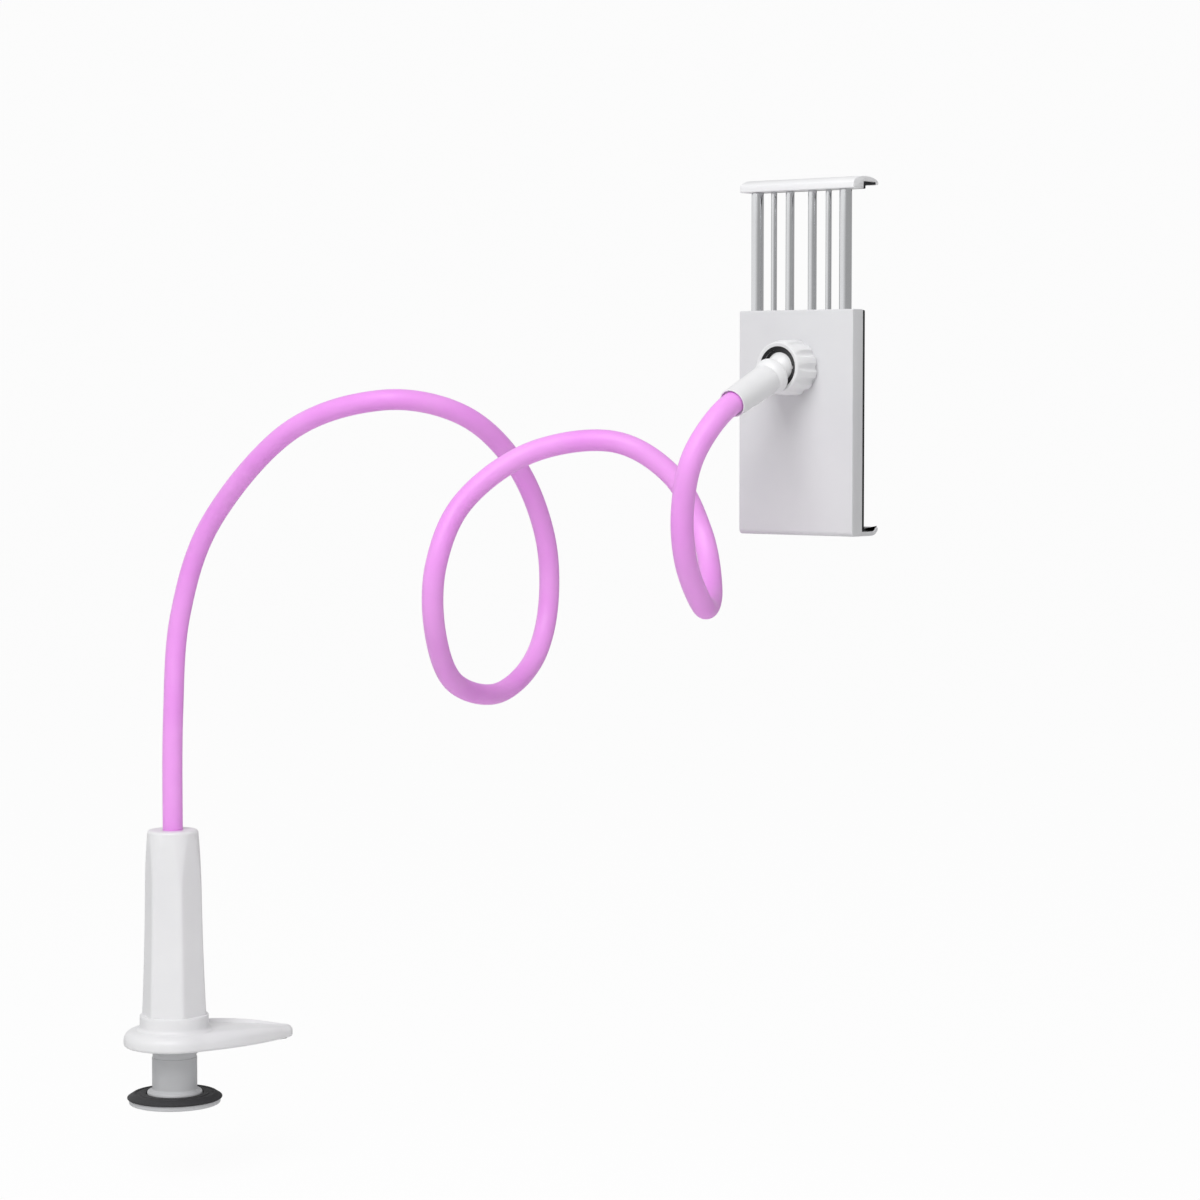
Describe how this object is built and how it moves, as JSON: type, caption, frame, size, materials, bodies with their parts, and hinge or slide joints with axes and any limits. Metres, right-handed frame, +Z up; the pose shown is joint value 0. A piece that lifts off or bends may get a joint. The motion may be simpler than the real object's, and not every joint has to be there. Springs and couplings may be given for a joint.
{
  "type": "flexible tablet holder",
  "caption": "Desk clamp with a bendable looped arm, a ball joint and a sprung cradle that grips a small tablet or a phone by its edges.",
  "frame": {"origin": "on the underside of the clamp's upper pad, at the middle of the tongue, where it rests on the desk", "axes": "+Z up; +X from the clamp towards the cradle, along the cradle's width; the cradle's back faces -Y and its hooks open along +Y; the clamp's tongue points 61 degrees from +X towards +Y"},
  "size_m": [0.3537, 0.1389, 0.4043],
  "materials": {
    "plastic_white": "smooth moulded, soft gloss",
    "plastic_grey": "smooth moulded",
    "sleeve_pink": "smooth satin sleeve",
    "core_metal": "drawn",
    "foam_black": "matte fine-celled foam",
    "polished_steel": "polished",
    "plain_steel": "plain zinc",
    "pad_rubber": "matte",
    "ball_black": "satin"
  },
  "bodies": {
    "clamp": {"clamp_body": "plastic_white", "upper_pad": "pad_rubber", "anchor_washer": "plain_steel", "anchor_nut": "plain_steel", "sleeve_1": "sleeve_pink", "core_1": "core_metal"},
    "jaw_pad": {"lower_pad": "pad_rubber"},
    "screw_jaw": {"lower_jaw": "plastic_grey"},
    "arm_2": {"sleeve_2": "sleeve_pink", "core_2": "core_metal"},
    "arm_3": {"sleeve_3": "sleeve_pink", "core_3": "core_metal"},
    "arm_4": {"sleeve_4": "sleeve_pink", "core_4": "core_metal"},
    "arm_5": {"sleeve_5": "sleeve_pink", "core_5": "core_metal"},
    "arm_6": {"sleeve_6": "sleeve_pink", "core_6": "core_metal", "neck": "plastic_white", "ball_stud": "ball_black"},
    "liner": {"ball_liner": "ball_black"},
    "nut": {"ring_nut": "plastic_white"},
    "cradle": {"rear_shell": "plastic_white", "front_plate": "plastic_white", "housing_screws": "plain_steel", "back_foam": "foam_black", "lower_hook_foam": "foam_black", "spring_left": "plain_steel", "spring_right": "plain_steel"},
    "slide": {"sliding_hook": "plastic_white", "upper_hook_foam": "foam_black", "crossbar": "plastic_grey", "guide_rod_left": "polished_steel", "guide_rod_right": "polished_steel", "spring_rod_left": "polished_steel", "spring_rod_right": "polished_steel", "centre_rod_left": "polished_steel", "centre_rod_right": "polished_steel"}
  },
  "joints": [
    {"name": "jaw_lift", "type": "slide", "parent": "clamp", "child": "jaw_pad", "axis": [0, 0, 1], "range_m": [-0.0151, 0.0121]},
    {"name": "jaw_turn", "type": "hinge", "parent": "jaw_pad", "child": "screw_jaw", "pos_m": [-0.01454, -0.02624, -0.01], "axis": [0, 0, 1], "range_deg": [-1800, 1440]},
    {"name": "bend_low", "type": "hinge", "parent": "clamp", "child": "arm_2", "pos_m": [-0.017, -0.023, 0.15], "axis": [0, 1, 0], "range_deg": [-20, 20]},
    {"name": "bend_rise", "type": "hinge", "parent": "arm_2", "child": "arm_3", "pos_m": [-0.003, -0.012, 0.236], "axis": [-0.7915, 0, 0.6112], "range_deg": [-20, 20]},
    {"name": "bend_top", "type": "hinge", "parent": "arm_3", "child": "arm_4", "pos_m": [0.112, 0.025, 0.284], "axis": [0.8984, -0.4392, 0], "range_deg": [-20, 20]},
    {"name": "bend_crest", "type": "hinge", "parent": "arm_4", "child": "arm_5", "pos_m": [0.169, 0.002, 0.268], "axis": [-0.3092, -0.2095, 0.9276], "range_deg": [-15, 15]},
    {"name": "bend_end", "type": "hinge", "parent": "arm_5", "child": "arm_6", "pos_m": [0.279, -0.039, 0.248], "axis": [0.977, 0.0399, -0.2094], "range_deg": [-15, 15]},
    {"name": "ball_pan", "type": "hinge", "parent": "arm_6", "child": "liner", "pos_m": [0.289, 0.015, 0.303], "axis": [0, 0, 1], "range_deg": [-16, 16]},
    {"name": "ball_tilt", "type": "hinge", "parent": "liner", "child": "nut", "pos_m": [0.289, 0.015, 0.303], "axis": [1, 0, 0], "range_deg": [-4, 46]},
    {"name": "cradle_turn", "type": "hinge", "parent": "nut", "child": "cradle", "pos_m": [0.289, 0.015, 0.303], "axis": [0, 1, 0], "range_deg": [-90, 90]},
    {"name": "hook_slide", "type": "slide", "parent": "cradle", "child": "slide", "axis": [0, 0, 1], "range_m": [-0.0474, 0.0146], "stiffness_N_per_m": 120, "springref_m": -0.06, "deforming": ["spring_left", "spring_right"]}
  ],
  "couplings": [
    {"joint": "jaw_lift", "follows": "jaw_turn", "m_per_rad": 0.00047746}
  ]
}
